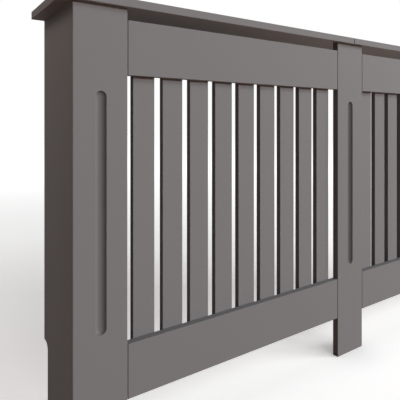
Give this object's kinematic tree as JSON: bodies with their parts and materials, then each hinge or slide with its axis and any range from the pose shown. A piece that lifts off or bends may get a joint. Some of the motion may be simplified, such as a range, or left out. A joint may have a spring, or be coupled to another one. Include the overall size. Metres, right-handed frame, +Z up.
{
  "type": "radiator cover cabinet",
  "caption": "Two-bay radiator cover with vertical slats, grooved posts, a shelf top on end panels with skirting notches, and an open back.",
  "frame": {"origin": "on the floor, under the centre of the outer box (centre of width and of depth)", "axes": "+X to the right seen from the room, +Y towards the wall, +Z up"},
  "size_m": [1.52, 0.19, 0.815],
  "materials": {
    "painted_mdf": "matt warm grey lacquer on MDF",
    "zinc_plated_steel": "bright zinc plating",
    "cam_alloy": "die-cast zinc alloy, dull",
    "beech": "bare turned beech"
  },
  "bodies": {
    "root": {"top_board_left": "painted_mdf", "side_panel_left": "painted_mdf", "stile_left": "painted_mdf", "top_rail_left": "painted_mdf", "bottom_rail_left": "painted_mdf", "slat_left_1": "painted_mdf", "slat_left_2": "painted_mdf", "slat_left_3": "painted_mdf", "slat_left_4": "painted_mdf", "slat_left_5": "painted_mdf", "slat_left_6": "painted_mdf", "slat_left_7": "painted_mdf", "slat_left_8": "painted_mdf", "slat_left_9": "painted_mdf", "top_board_right": "painted_mdf", "side_panel_right": "painted_mdf", "stile_right": "painted_mdf", "top_rail_right": "painted_mdf", "bottom_rail_right": "painted_mdf", "slat_right_1": "painted_mdf", "slat_right_2": "painted_mdf", "slat_right_3": "painted_mdf", "slat_right_4": "painted_mdf", "slat_right_5": "painted_mdf", "slat_right_6": "painted_mdf", "slat_right_7": "painted_mdf", "slat_right_8": "painted_mdf", "slat_right_9": "painted_mdf", "centre_post": "painted_mdf", "rail_plate_left_upper": "zinc_plated_steel", "cam_bolt_left_upper": "zinc_plated_steel", "cam_lock_left_upper": "cam_alloy", "dowel_left_upper_inner": "beech", "dowel_left_upper_outer": "beech", "rail_plate_left_lower": "zinc_plated_steel", "cam_bolt_left_lower": "zinc_plated_steel", "cam_lock_left_lower": "cam_alloy", "dowel_left_lower_inner": "beech", "dowel_left_lower_outer": "beech", "dowel_left_post_top": "beech", "corner_bracket_left": "zinc_plated_steel", "wall_bracket_left": "zinc_plated_steel", "rail_plate_right_upper": "zinc_plated_steel", "cam_bolt_right_upper": "zinc_plated_steel", "cam_lock_right_upper": "cam_alloy", "dowel_right_upper_inner": "beech", "dowel_right_upper_outer": "beech", "rail_plate_right_lower": "zinc_plated_steel", "cam_bolt_right_lower": "zinc_plated_steel", "cam_lock_right_lower": "cam_alloy", "dowel_right_lower_inner": "beech", "dowel_right_lower_outer": "beech", "dowel_right_post_top": "beech", "corner_bracket_right": "zinc_plated_steel", "wall_bracket_right": "zinc_plated_steel", "rail_plate_centre_upper": "zinc_plated_steel", "rail_plate_centre_lower": "zinc_plated_steel", "top_joining_plate": "zinc_plated_steel"}
  },
  "joints": []
}
